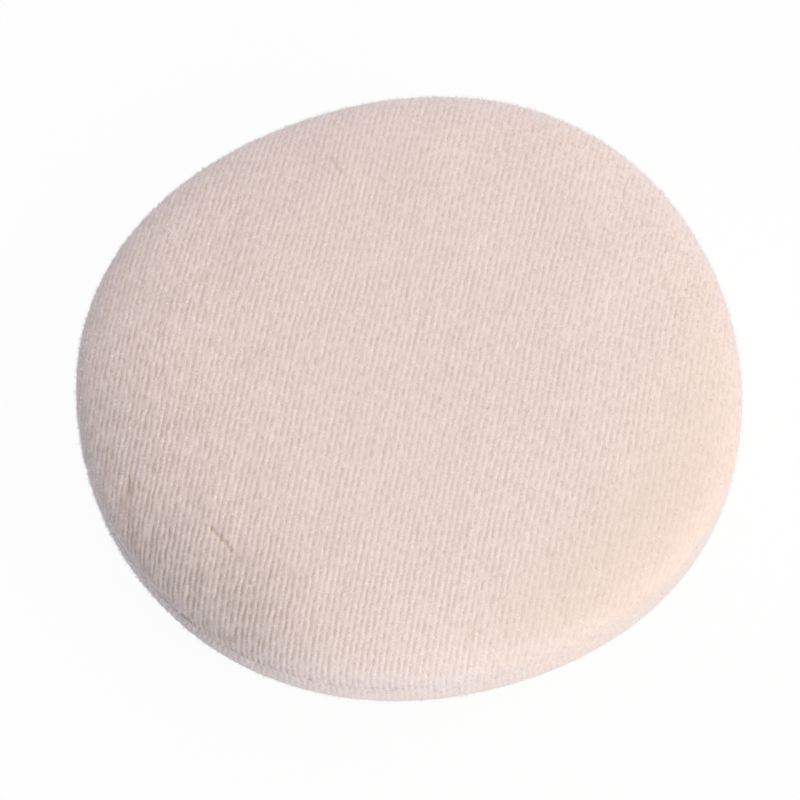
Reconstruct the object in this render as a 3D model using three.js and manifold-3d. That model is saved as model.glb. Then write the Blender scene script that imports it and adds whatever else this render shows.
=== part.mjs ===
// A round velour powder puff: two knit covers sewn edge to edge over a soft foam disc.
// Millimetres, +Z up. The puff lies on its back cover, and the origin is the middle of its resting face.
import * as THREE from 'three';
import { mergeVertices } from 'three/addons/utils/BufferGeometryUtils.js';
import Module from 'manifold-3d';

// The pad
const padDiameter = 80;
const frontRise = 9.2; // crown of the front cover above the seam
const backRise = 10.8; // resting face below the seam
const restPress = 1; // how far the back cover's crown is pressed flat where it rests
const crownPower = 2.5; // fullness of the section: 2 is an ellipse, more is squarer

// The sewn outline is a little out of round: lobes round the edge, with the height and place of each
const outlineLobes = [
  { lobes: 2, height: 0.54, place: THREE.MathUtils.degToRad(38) },
  { lobes: 3, height: 0.34, place: THREE.MathUtils.degToRad(66) },
  { lobes: 4, height: 0.44, place: THREE.MathUtils.degToRad(63.5) },
];

// The covers
const clothThickness = 0.9; // knit and pile
const bendRadius = 0.2; // inside of the fold at the seam
const seamAllowance = 5; // cloth turned in past the fold
const coverGap = 0.3; // between the two folded edges
const foamClearance = 0.3; // between the cloth and the foam

// The seam
const threadDiameter = 0.2;
const threadClearance = 0.1; // from thread to cloth and from thread to thread
const stitchPitch = 5;
const stitchInset = 1.5; // from the fold to the row of stitches
const threadTail = 1.2; // loose end past the last stitch
const turningGap = 30; // stretch left open to turn the covers, then closed by hand
const turningPlace = Math.PI / 2; // at the side away from the viewer

// Fineness of the facets
const roundSteps = 42;
const crownSteps = 8; // on the outside of a cover
const liningSteps = 4; // on the inside of a cover and on the foam
const foldSteps = 3;
const threadSides = 5;

// What follows from those sizes
const padRadius = padDiameter / 2;
const threadRoom = threadDiameter + 2 * threadClearance;
const foldDepth = clothThickness + bendRadius;
const clothTop = coverGap / 2 + clothThickness; // inner face of a seam allowance, from the seam plane
const foldRise = clothTop + threadRoom + bendRadius; // widest point of a cover, from the seam plane
const foldRadius = padRadius - foldDepth;
const stitchRadius = foldRadius - stitchInset;
const legOffset = threadDiameter + threadClearance; // from a stitch's middle to the legs of its loop
const loopOffset = (threadDiameter + threadClearance) / 2; // from the seam plane to the end of a loop
const runHeight = clothTop + threadClearance + threadDiameter / 2; // thread lying on an allowance

const wasm = await Module();
wasm.setup();

// How much wider than round the outline is at an angle.
function outlineScale(angle) {
  const lobe = ({ lobes, height, place }) => height * Math.cos(lobes * (angle - place));
  return 1 + outlineLobes.reduce((sum, each) => sum + lobe(each), 0) / padRadius;
}

// A point of the pad by its radius before the outline is drawn, its angle, and its height from the seam plane.
function padPoint(radius, angle, height) {
  const reach = radius * outlineScale(angle);
  return new THREE.Vector3(reach * Math.cos(angle), reach * Math.sin(angle), backRise + height);
}

// A closed section turned about the pad's axis, then drawn out to the outline.
function turned(section) {
  const geometry = new THREE.LatheGeometry(section, roundSteps).rotateX(Math.PI / 2);
  const position = geometry.attributes.position;
  for (let i = 0; i < position.count; i += 1) {
    const scale = outlineScale(Math.atan2(position.getY(i), position.getX(i)));
    position.setXY(i, position.getX(i) * scale, position.getY(i) * scale);
  }
  return geometry;
}

// Half a crowned section, from its widest point to the axis, set in from the cover's outside by an offset.
// Heights are from the seam plane. A pressed crown is cut off flat at its rise.
function crown(rise, press, offset, steps) {
  const reach = padRadius - offset;
  const level = rise - foldRise - offset;
  const fullHeight = level + press;
  const lastTurn = Math.asin((level / fullHeight) ** (crownPower / 2));
  const points = [];
  for (let i = 0; i < steps; i += 1) {
    const turn = (lastTurn * i) / (press > 0 ? steps - 1 : steps);
    const radius = reach * Math.cos(turn) ** (2 / crownPower);
    points.push(new THREE.Vector2(radius, foldRise + fullHeight * Math.sin(turn) ** (2 / crownPower)));
  }
  points.push(new THREE.Vector2(0, rise - offset));
  return points;
}

// The round outside of the fold, from the cover's widest point in to the seam.
function fold() {
  const points = [];
  for (let i = 1; i <= foldSteps; i += 1) {
    const turn = (Math.PI / 2) * (i / foldSteps);
    const height = foldRise - (foldRise - coverGap / 2) * Math.sin(turn);
    points.push(new THREE.Vector2(foldRadius + foldDepth * Math.cos(turn), height));
  }
  return points;
}

// A cover's section: crown, fold, turned-in allowance and inner face, with heights from the seam plane.
function coverSection(rise, press) {
  const allowanceEnd = foldRadius - seamAllowance;
  return [
    ...crown(rise, press, 0, crownSteps).reverse(),
    ...fold(),
    new THREE.Vector2(allowanceEnd, coverGap / 2),
    new THREE.Vector2(allowanceEnd, clothTop),
    new THREE.Vector2(foldRadius, clothTop),
    ...crown(rise, press, clothThickness, liningSteps),
  ];
}

// The foam's section from the middle of one face out to the mouth of the slot round its edge.
function foamHalf(rise, press) {
  return [
    ...crown(rise, press, clothThickness + foamClearance, liningSteps).reverse(),
    new THREE.Vector2(foldRadius - foamClearance, clothTop + threadRoom),
    new THREE.Vector2(foldRadius - seamAllowance - foamClearance, clothTop + threadRoom),
  ];
}

// A section's points above the seam plane, or below it for the back, on the pad's own heights.
const above = (section) => section.map((p) => new THREE.Vector2(p.x, backRise + p.y));
const below = (section) => section.map((p) => new THREE.Vector2(p.x, backRise - p.y));

// A geometry as a solid that can be cut.
function solidOf(geometry) {
  const bare = new THREE.BufferGeometry();
  bare.setAttribute('position', geometry.attributes.position);
  bare.setIndex(geometry.index);
  const merged = mergeVertices(bare);
  return new wasm.Manifold(
    new wasm.Mesh({
      numProp: 3,
      vertProperties: merged.attributes.position.array,
      triVerts: new Uint32Array(merged.index.array),
    }),
  );
}

function geometryOf(solid) {
  const { vertProperties, triVerts } = solid.getMesh();
  const geometry = new THREE.BufferGeometry();
  geometry.setAttribute('position', new THREE.BufferAttribute(vertProperties, 3));
  geometry.setIndex(new THREE.BufferAttribute(triVerts, 1));
  geometry.computeVertexNormals();
  return geometry;
}

// Angles of the needle holes all round the seam. The first few are those of the turning gap.
const stitchCount = Math.round((2 * Math.PI * stitchRadius) / stitchPitch);
const closingCount = Math.round(turningGap / stitchPitch);
const stitchAngles = Array.from(
  { length: stitchCount },
  (_, i) => turningPlace + (2 * Math.PI * (i - (closingCount - 1) / 2)) / stitchCount,
);
const closingAngles = stitchAngles.slice(0, closingCount);
const machineAngles = stitchAngles.slice(closingCount);

// A cover with its needle holes cut through the allowance. side is 1 for the front and -1 for the back.
function pierced(geometry, side) {
  const holeSide = 2 * (legOffset + threadDiameter / 2 + threadClearance);
  const holeMiddle = (side * (coverGap + clothThickness)) / 2;
  let cover = solidOf(geometry);
  for (const angle of stitchAngles) {
    const hole = new THREE.BoxGeometry(holeSide, holeSide, clothThickness + coverGap).rotateZ(angle);
    hole.translate(...padPoint(stitchRadius, angle, holeMiddle));
    cover = cover.subtract(solidOf(hole));
  }
  return geometryOf(cover);
}

// An unbroken thread along points, with mitred corners and flat ends.
function threadAlong(points) {
  const heading = (i) => points[i + 1].clone().sub(points[i]).normalize();
  const last = points.length - 1;
  const first = heading(0);
  const across = new THREE.Vector3(0, 0, 1).cross(first).normalize();
  const up = first.clone().cross(across);
  let ring = Array.from({ length: threadSides }, (_, i) => {
    const turn = (2 * Math.PI * i) / threadSides;
    const spoke = across.clone().multiplyScalar(Math.cos(turn)).addScaledVector(up, Math.sin(turn));
    return points[0].clone().addScaledVector(spoke, threadDiameter / 2);
  });
  const vertices = [...ring];
  const faces = [];
  for (let i = 1; i <= last; i += 1) {
    const along = heading(i - 1);
    const mitre = along.clone().add(heading(Math.min(i, last - 1)));
    ring = ring.map((corner) => {
      const slide = points[i].clone().sub(corner).dot(mitre) / along.dot(mitre);
      return corner.clone().addScaledVector(along, slide);
    });
    vertices.push(...ring);
    const [start, end] = [(i - 1) * threadSides, i * threadSides];
    for (let side = 0; side < threadSides; side += 1) {
      const next = (side + 1) % threadSides;
      faces.push(start + side, start + next, end + next, start + side, end + next, end + side);
    }
  }
  for (let side = 1; side < threadSides - 1; side += 1) {
    faces.push(0, side + 1, side);
    faces.push(last * threadSides, last * threadSides + side, last * threadSides + side + 1);
  }
  const geometry = new THREE.BufferGeometry().setFromPoints(vertices).setIndex(faces);
  geometry.computeVertexNormals();
  return geometry;
}

// A point this far along the edge from a stitch.
const beside = (angle, distance, height) => padPoint(stitchRadius, angle + distance / stitchRadius, height);

// The needle thread lies on the front allowance and loops down at each stitch.
function needlePath() {
  const loops = machineAngles.flatMap((angle) => [
    beside(angle, -legOffset, runHeight),
    beside(angle, -legOffset, -loopOffset),
    beside(angle, legOffset, -loopOffset),
    beside(angle, legOffset, runHeight),
  ]);
  const start = beside(machineAngles[0], -legOffset - threadTail, runHeight);
  const end = beside(machineAngles.at(-1), legOffset + threadTail, runHeight);
  return [start, ...loops, end];
}

// The bobbin thread lies on the back allowance and loops up over the needle thread, square to it.
function bobbinPath() {
  const inner = stitchRadius - legOffset;
  const outer = stitchRadius + legOffset;
  const loops = machineAngles.flatMap((angle) => [
    padPoint(inner, angle, -runHeight),
    padPoint(inner, angle, loopOffset),
    padPoint(outer, angle, loopOffset),
    padPoint(outer, angle, -runHeight),
  ]);
  const tailTurn = threadTail / stitchRadius;
  const start = padPoint(inner, machineAngles[0] - tailTurn, -runHeight);
  const end = padPoint(outer, machineAngles.at(-1) + tailTurn, -runHeight);
  return [start, ...loops, end];
}

// The closing thread passes right through both allowances, to and fro, from hole to hole.
function closingPath() {
  const sideAfter = (i) => (i % 2 === 0 ? -1 : 1);
  const passes = closingAngles.flatMap((angle, i) => [
    padPoint(stitchRadius, angle, -sideAfter(i) * runHeight),
    padPoint(stitchRadius, angle, sideAfter(i) * runHeight),
  ]);
  const start = beside(closingAngles[0], -threadTail, runHeight);
  const end = beside(closingAngles.at(-1), threadTail, sideAfter(closingCount - 1) * runHeight);
  return [start, ...passes, end];
}

function named(name, geometry, material) {
  const mesh = new THREE.Mesh(geometry, new THREE.MeshStandardMaterial({ metalness: 0, ...material }));
  mesh.name = name;
  return mesh;
}

const velour = { color: 0xe6d5cc, roughness: 0.95 };
const foam = { color: 0xf3ead9, roughness: 1 };
const thread = { color: 0xdcc7bd, roughness: 0.7 };

const frontSection = above(coverSection(frontRise, 0)).reverse();
const backSection = below(coverSection(backRise, restPress));
const foamSection = [...below(foamHalf(backRise, restPress)), ...above(foamHalf(frontRise, 0)).reverse()];

const frontCover = named('front_cover', pierced(turned(frontSection), 1), velour);
const backCover = named('back_cover', pierced(turned(backSection), -1), velour);
const foamCore = named('foam_core', turned(foamSection), foam);

const seam = new THREE.Group();
seam.add(
  named('seam_needle_thread', threadAlong(needlePath()), thread),
  named('seam_bobbin_thread', threadAlong(bobbinPath()), thread),
  named('closing_thread', threadAlong(closingPath()), thread),
);

// The outline's lobes leave it off centre, so the whole pad is moved over the middle of its width and depth.
const pad = new THREE.Group();
pad.add(frontCover, backCover, foamCore, seam);
const middle = new THREE.Box3().setFromObject(pad).getCenter(new THREE.Vector3());
pad.position.set(-middle.x, -middle.y, 0);

const puff = new THREE.Group();
puff.add(pad);

export default puff;
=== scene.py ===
import math
import bpy
import numpy as np
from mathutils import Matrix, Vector


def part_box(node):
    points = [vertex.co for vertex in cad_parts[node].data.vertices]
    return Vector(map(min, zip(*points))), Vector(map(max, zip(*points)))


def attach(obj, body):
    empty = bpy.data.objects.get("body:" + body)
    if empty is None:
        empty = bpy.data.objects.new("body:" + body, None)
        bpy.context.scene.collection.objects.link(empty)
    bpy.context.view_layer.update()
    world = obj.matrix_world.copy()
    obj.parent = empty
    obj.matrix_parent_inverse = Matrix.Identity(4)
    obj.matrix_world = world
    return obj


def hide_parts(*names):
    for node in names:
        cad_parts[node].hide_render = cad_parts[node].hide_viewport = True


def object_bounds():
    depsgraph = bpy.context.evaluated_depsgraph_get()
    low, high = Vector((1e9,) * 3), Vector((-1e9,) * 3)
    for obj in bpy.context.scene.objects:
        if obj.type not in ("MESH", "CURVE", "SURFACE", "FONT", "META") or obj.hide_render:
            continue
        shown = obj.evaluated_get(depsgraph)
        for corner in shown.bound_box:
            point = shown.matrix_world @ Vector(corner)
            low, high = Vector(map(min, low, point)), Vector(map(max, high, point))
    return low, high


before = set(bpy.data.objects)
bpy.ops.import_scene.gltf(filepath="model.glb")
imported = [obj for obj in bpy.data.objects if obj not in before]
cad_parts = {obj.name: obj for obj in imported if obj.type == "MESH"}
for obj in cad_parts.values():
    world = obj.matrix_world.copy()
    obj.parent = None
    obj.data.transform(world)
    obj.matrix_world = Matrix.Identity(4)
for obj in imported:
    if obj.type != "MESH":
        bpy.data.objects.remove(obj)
cadLow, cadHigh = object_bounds()
scene = bpy.context.scene
scene.view_settings.view_transform = "Standard"
mm = 0.001
fullTurn = 2 * math.pi
print("frame loaded:", ", ".join(sorted(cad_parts)))

# The pad's form, the same as the solids have
padForm = {
    "radius": 40 * mm,
    "lobes": ((2, 0.54, 38.0), (3, 0.34, 66.0), (4, 0.44, 63.5)),  # count, height in mm, place in degrees
    "crownPower": 2.5,  # 2 is an ellipse, more is squarer
    "restPress": 1 * mm,  # how far the back crown is pressed flat
    "clothThickness": 0.9 * mm,
    "bendRadius": 0.2 * mm,
    "seamAllowance": 5 * mm,
    "threadRoom": 0.4 * mm,
    "foamClearance": 0.3 * mm,
    "seamDepth": 0.03 * mm,  # the pile closes all but this much of the groove between the folds
    "seamSharpness": 3.0,
    "seamOpening": -0.04 * mm,  # from the seam plane to the pile of either fold, which press on each other
    "crownSteps": 900,  # points along a cover's section
    "flatSteps": 40,
    "seamSteps": 120,
}
frontLow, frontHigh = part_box("front_cover")
backLow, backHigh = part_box("back_cover")
seamPlane = (frontLow.z + backHigh.z) / 2
halfGap = (frontLow.z - backHigh.z) / 2  # from the seam plane to a folded edge
frontRise = frontHigh.z - seamPlane
backRise = seamPlane - backLow.z
foldDepth = padForm["clothThickness"] + padForm["bendRadius"]
clothTop = halfGap + padForm["clothThickness"]
foldRise = clothTop + padForm["threadRoom"] + padForm["bendRadius"]
foldRadius = padForm["radius"] - foldDepth


def outlineScale(angle):
    wave = sum(height * mm * np.cos(count * (angle - math.radians(place)))
               for count, height, place in padForm["lobes"])
    return 1 + wave / padForm["radius"]


def outlineMiddle():
    angle = np.linspace(0, fullTurn, 1440)
    reach = padForm["radius"] * outlineScale(angle)
    x, y = reach * np.cos(angle), reach * np.sin(angle)
    return -(x.min() + x.max()) / 2, -(y.min() + y.max()) / 2


axisX, axisY = outlineMiddle()  # where the pad's axis stands once its box is centred


# Points of the pad by radius before the outline is drawn, angle, and height from the seam plane
def padPoints(radius, angle, height, side):
    reach = radius * outlineScale(angle)
    x = axisX + reach * np.cos(angle)
    y = axisY + reach * np.sin(angle)
    return np.stack((x, y, seamPlane + side * height + 0 * angle), axis=-1)


def crownCurve(rise, press, inset, steps):
    reach = padForm["radius"] - inset
    level = rise - foldRise - inset
    full = level + press
    power = padForm["crownPower"]
    lastTurn = math.asin((level / full) ** (power / 2))
    turn = np.linspace(lastTurn, 0, steps)
    radius = reach * np.clip(np.cos(turn), 0, 1) ** (2 / power)
    height = foldRise + full * np.sin(turn) ** (2 / power)
    if press > 0:
        flat = np.linspace(0, radius[0], padForm["flatSteps"], endpoint=False)
        radius = np.concatenate((flat, radius))
        height = np.concatenate((np.full(len(flat), height[0]), height))
    return radius, height


# One cover's section from its middle over the widest place into the seam, with the length along it
def coverCurve(rise, press):
    radius, height = crownCurve(rise, press, 0, padForm["crownSteps"])
    drop = np.linspace(0, 1, padForm["seamSteps"])[1:]
    edge = padForm["radius"] - padForm["seamDepth"] * drop ** padForm["seamSharpness"]
    radius = np.concatenate((radius, edge))
    height = np.concatenate((height, foldRise - (foldRise - padForm["seamOpening"]) * drop))
    step = np.hypot(np.diff(radius), np.diff(height))
    along = np.concatenate(([0], np.cumsum(step)))
    return along, radius, height


def heading(around, up):
    turn, lift = math.radians(around), math.radians(up)
    return Vector((math.cos(turn) * math.cos(lift), math.sin(turn) * math.cos(lift), math.sin(lift)))


def smoothShare(value, start, full):
    share = np.clip((value - start) / (full - start), 0, 1)
    return share ** 2 * (3 - 2 * share)


# Where the filling has given way a little and the pile lies crushed, along one part of the edge; the colour
# there is painted darker as painted shade
crushed = {
    "places": (  # x, y, reach in mm, share
        (-31.0, -26.5, 8.8, 1.0),
        (-20.8, -34.5, 8.0, 0.95),
        (-35.5, -10.5, 8.0, 0.5),
    ),
    "most": 1.1,
    "backShare": 0.7,
    "depth": 0.4 * mm,
    "fadeHeight": 3 * mm,  # above the seam, which stays in place
}


def crushShare(points):
    total = np.zeros(points.shape[:-1])
    for x, y, reach, share in crushed["places"]:
        away = np.hypot(points[..., 0] - x * mm, points[..., 1] - y * mm) / (reach * mm)
        total += share * np.exp(-away ** 2)
    return np.minimum(total, crushed["most"])


def settle(points, side):
    lowered = points.copy()
    if side > 0:
        held = smoothShare(points[..., 2] - seamPlane, 0, crushed["fadeHeight"])
        lowered[..., 2] -= crushed["depth"] * crushShare(points) * held
    return lowered


# Where the flank faces the right window, along one side of the edge: a painted light wash that lifts the
# grooves' painted shade, with shallower ribs; below nought, on the other side, weaker painted sheen, so the
# ribs show more
lightWashed = {
    "around": -35.0,  # degrees round from +X
    "width": 40.0,
    "start": 24 * mm,  # from the pad's axis
    "full": 38 * mm,
    "combed": 0.36,
    "combedFull": 34 * mm,
    "flankStart": 18 * mm,
    "flankReach": 15 * mm,
}


def lightWashShare(points, side):
    x, y = points[..., 0] - axisX, points[..., 1] - axisY
    turn = (np.degrees(np.arctan2(y, x)) - lightWashed["around"] + 180) % 360 - 180
    outer = smoothShare(np.hypot(x, y), lightWashed["start"], lightWashed["full"])
    raised = outer * np.exp(-(turn / lightWashed["width"]) ** 2)
    flank = smoothShare(-y, lightWashed["flankStart"], lightWashed["combedFull"])
    flank = flank * smoothShare(-x, -lightWashed["flankReach"], 0)
    flat = np.maximum(smoothShare(-x, 0, lightWashed["combedFull"]), flank)
    return raised - (side > 0) * lightWashed["combed"] * flat


# Node helpers
def feed(tree, value, socket):
    if isinstance(value, bpy.types.NodeSocket):
        tree.links.new(value, socket)
    else:
        socket.default_value = value


def addNode(tree, kind, inputs=None, **settings):
    node = tree.nodes.new(kind)
    for name, value in settings.items():
        setattr(node, name, value)
    for name, value in (inputs or {}).items():
        feed(tree, value, node.inputs[name])
    return node


def calc(tree, operation, *values):
    node = addNode(tree, "ShaderNodeMath", operation=operation)
    for value, socket in zip(values, node.inputs):
        feed(tree, value, socket)
    return node.outputs[0]


def product(tree, first, *others):
    for other in others:
        first = calc(tree, "MULTIPLY", first, other)
    return first


def ease(tree, value, start, end, first=0.0, last=1.0):
    node = addNode(tree, "ShaderNodeMapRange", interpolation_type="SMOOTHSTEP")
    for given, socket in zip((value, start, end, first, last), node.inputs):
        feed(tree, given, socket)
    return node.outputs["Result"]


def noise(tree, vector, seed, detail=0.0):
    node = addNode(tree, "ShaderNodeTexNoise", {"Vector": vector, "W": seed, "Scale": 1.0, "Detail": detail},
                   noise_dimensions="4D")
    return node.outputs[0]


def spread(tree, vector, factors):
    node = addNode(tree, "ShaderNodeVectorMath", {0: vector, 1: factors}, operation="MULTIPLY")
    return node.outputs[0]


# Noise in patches of about this width and length in mm
def patchNoise(tree, cloth, width, length, seed, detail=0.0):
    return noise(tree, spread(tree, cloth, (1 / (width * mm), 1 / (length * mm), 0)), seed, detail)


def scaled(tree, vector, share):
    node = addNode(tree, "ShaderNodeVectorMath", {0: vector, "Scale": share}, operation="SCALE")
    return node.outputs[0]


def added(tree, first, second):
    node = addNode(tree, "ShaderNodeVectorMath", {0: first, 1: second}, operation="ADD")
    return node.outputs[0]


def split(tree, vector):
    return addNode(tree, "ShaderNodeSeparateXYZ", {0: vector}).outputs


def mixed(tree, share, first, second, blend="MIX"):
    node = addNode(tree, "ShaderNodeMix", {"Factor": share}, data_type="RGBA", blend_type=blend)
    for color, socket in ((first, node.inputs[6]), (second, node.inputs[7])):
        feed(tree, color if isinstance(color, bpy.types.NodeSocket) else (*color, 1), socket)
    return node.outputs[2]


def cells(tree, place, scale):
    node = addNode(tree, "ShaderNodeTexVoronoi", {"Vector": place, "Scale": scale}, feature="F1")
    return node.outputs["Distance"]


def bumped(tree, look, height):
    node = addNode(tree, "ShaderNodeBump", {
        "Strength": look["bumpStrength"], "Distance": look["bumpDepth"], "Height": height})
    return node.outputs[0]


# Inputs of a tree, plain numbers unless another kind is given
def addInputs(tree, labels, kinds):
    for label in labels:
        kind = "NodeSocket" + kinds.get(label, "Float")
        tree.interface.new_socket(label, in_out="INPUT", socket_type=kind)


def pieceTree(name, labels, **kinds):
    tree = bpy.data.node_groups.new(name, "GeometryNodeTree")
    kinds.update({"Geometry": "Geometry", "Material": "Material"})
    addInputs(tree, ("Geometry", *labels, "Material"), kinds)
    tree.interface.new_socket("Geometry", in_out="OUTPUT", socket_type="NodeSocketGeometry")
    given = tree.nodes.new("NodeGroupInput").outputs
    return tree, given, tree.nodes.new("NodeGroupOutput").inputs[0]


def readAttribute(tree, name, kind="FLOAT"):
    return addNode(tree, "GeometryNodeInputNamedAttribute", {"Name": name}, data_type=kind).outputs[0]


# Moves each point along its normal
def pushOut(tree, geometry, distance):
    normal = addNode(tree, "GeometryNodeInputNormal").outputs[0]
    offset = scaled(tree, normal, distance)
    return addNode(tree, "GeometryNodeSetPosition", {"Geometry": geometry, "Offset": offset}).outputs[0]


def endTree(tree, geometry, material, result):
    real = addNode(tree, "GeometryNodeRealizeInstances", {"Geometry": geometry})
    dressed = addNode(tree, "GeometryNodeSetMaterial", {"Geometry": real.outputs[0], "Material": material})
    tree.links.new(dressed.outputs[0], result)


# An input called Rib Depth takes the value called ribDepth
def valueName(label):
    words = label.split()
    return words[0].lower() + "".join(words[1:])


# Runs a tree on a piece and keeps the result as its plain mesh
def runTree(piece, tree, values):
    modifier = piece.modifiers.new(tree.name, "NODES")
    modifier.node_group = tree
    for item in tree.interface.items_tree:
        if item.in_out == "INPUT" and valueName(item.name) in values:
            modifier[item.identifier] = values[valueName(item.name)]
    graph = bpy.context.evaluated_depsgraph_get()
    shown = piece.evaluated_get(graph)
    made = bpy.data.meshes.new_from_object(shown, preserve_all_data_layers=True, depsgraph=graph)
    piece.modifiers.remove(modifier)
    old = piece.data
    piece.data = made
    bpy.data.meshes.remove(old)
    made.name = piece.name


def newMaterial(name):
    material = bpy.data.materials.new(name)
    material.use_nodes = True
    return material, material.node_tree, material.node_tree.nodes["Principled BSDF"]


def meshField(tree, name, output="Fac"):
    return addNode(tree, "ShaderNodeAttribute", attribute_name=name).outputs[output]


def setSockets(skin, values):
    for label, value in values.items():
        skin.inputs[label].default_value = value


# Mesh helpers
def addObject(name, data):
    item = bpy.data.objects.new(name, data)
    scene.collection.objects.link(item)
    return item


def newPiece(name, points, faces):
    mesh = bpy.data.meshes.new(name)
    mesh.from_pydata(points, [], faces)
    mesh.polygons.foreach_set("use_smooth", np.ones(len(mesh.polygons), bool))
    return addObject(name, mesh)


def keepAttribute(mesh, name, kind, values):
    field = "vector" if kind == "FLOAT_VECTOR" else "value"
    kept = mesh.attributes.new(name, kind, "POINT").data
    kept.foreach_set(field, np.ascontiguousarray(values, np.float32).ravel())


def readNumbers(items, field):
    numbers = np.empty(len(items), np.int32)
    items.foreach_get(field, numbers)
    return numbers


def readVectors(items, field):
    vectors = np.empty(len(items) * 3, np.float32)
    items.foreach_get(field, vectors)
    return vectors.reshape(-1, 3)


def ringFaces(ring):
    below, above = ring[:-1], ring[1:]
    corners = (below, above, np.roll(above, -1, axis=1), np.roll(below, -1, axis=1))
    return np.stack(corners, axis=-1).reshape(-1, 4).tolist()


def ringFan(pole, ring):
    return [(pole, int(first), int(second)) for first, second in zip(ring, np.roll(ring, -1))]


# Both covers as one coarse pillow, held at the seam and blown up, to find how unevenly the cloth lies
pillowBuild = {
    "rings": 18,  # from the middle of a cover to the seam
    "columns": 72,
    "modelScale": 10.0,  # cloth is simulated this many times larger
    "growth": 0.015,  # how much larger the cloth was cut than the form
    "pressure": 3.0,
    "bending": 2.0,
    "quality": 6,
    "frames": 20,
    "startNoise": 0.08 * mm,
    "seed": 5,
    "cap": 0.14 * mm,  # the most that a point moves
    "edgeFade": (0.65, 0.95),  # shares of the way to the seam: the widest place keeps its outline
    "restFade": (0.5, 0.75),  # and the face that rests on the table stays flat
}


def pillowRows(rise, press, side):
    along, radius, height = coverCurve(rise, press)
    reach = along[-1] * np.arange(1, pillowBuild["rings"] + 1)[:, None] / pillowBuild["rings"]
    angle = fullTurn * np.arange(pillowBuild["columns"])[None, :] / pillowBuild["columns"]
    return padPoints(np.interp(reach, along, radius), angle, np.interp(reach, along, height), side)


def blowUp():
    rings, columns = pillowBuild["rings"], pillowBuild["columns"]
    front = pillowRows(frontRise, 0, 1)
    back = pillowRows(backRise, padForm["restPress"], -1)
    front[-1, :, 2] = seamPlane
    poles = np.array([[axisX, axisY, seamPlane + frontRise], [axisX, axisY, seamPlane - backRise]])
    points = np.concatenate((front.reshape(-1, 3), back[:-1].reshape(-1, 3), poles))
    draw = np.random.default_rng(pillowBuild["seed"])
    start = points + draw.uniform(-1, 1, points.shape) * pillowBuild["startNoise"]
    frontRing = np.arange(rings * columns).reshape(rings, columns)
    backRing = rings * columns + np.arange((rings - 1) * columns).reshape(rings - 1, columns)
    backRing = np.concatenate((backRing, frontRing[-1:]))
    frontPole, backPole = len(points) - 2, len(points) - 1
    faces = ringFaces(frontRing) + ringFan(frontPole, frontRing[0])
    faces += [face[::-1] for face in ringFaces(backRing) + ringFan(backPole, backRing[0])]
    scale = pillowBuild["modelScale"]
    pillow = newPiece("pillow", start * scale, faces)
    held = pillow.vertex_groups.new(name="seam")
    held.add([int(number) for number in frontRing[-1]], 1.0, "REPLACE")
    cloth = pillow.modifiers.new("blowUp", "CLOTH").settings
    cloth.vertex_group_mass = "seam"
    cloth.quality = pillowBuild["quality"]
    cloth.bending_stiffness = pillowBuild["bending"]
    cloth.shrink_min = -pillowBuild["growth"]
    cloth.use_pressure = True
    cloth.uniform_pressure_force = pillowBuild["pressure"]
    cloth.effector_weights.gravity = 0
    for count in range(1, pillowBuild["frames"] + 1):
        scene.frame_set(count)
    graph = bpy.context.evaluated_depsgraph_get()
    blown = readVectors(pillow.evaluated_get(graph).data.vertices, "co")
    normals = readVectors(pillow.data.vertex_normals, "vector")
    lift = ((blown / scale - points) * normals).sum(axis=1)
    old = pillow.data
    bpy.data.objects.remove(pillow)
    bpy.data.meshes.remove(old)
    scene.frame_set(1)
    tables = []
    for ring in (frontRing, backRing):
        table = lift[ring] - lift[ring].mean(axis=1, keepdims=True)
        table = pillowBuild["cap"] * np.tanh(table / pillowBuild["cap"])
        table[-1] = 0
        tables.append(np.concatenate((np.full((1, columns), table[0].mean()), table)))
    uneven = [round(float(np.abs(table).max() / mm), 3) for table in tables]
    print("pillow blown up: cloth lies uneven by", uneven, "mm")
    return tables


def splineWeight(share, step):
    away = np.abs(share - step)
    return np.where(away < 1, (4 - 6 * away ** 2 + 3 * away ** 3) / 6, np.clip(2 - away, 0, 1) ** 3 / 6)


# A smooth reading of such a table between its points, round and round along its columns
def readTable(table, row, column):
    firstRow, firstColumn = np.floor(row).astype(int), np.floor(column).astype(int)
    total = np.zeros(row.shape)
    for rowStep in range(-1, 3):
        rowWeight = splineWeight(row - firstRow, rowStep)
        rowNumber = np.clip(firstRow + rowStep, 0, table.shape[0] - 1)
        for columnStep in range(-1, 3):
            weight = rowWeight * splineWeight(column - firstColumn, columnStep)
            total += weight * table[rowNumber, (firstColumn + columnStep) % table.shape[1]]
    return total


frontSwell, backSwell = blowUp()

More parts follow.
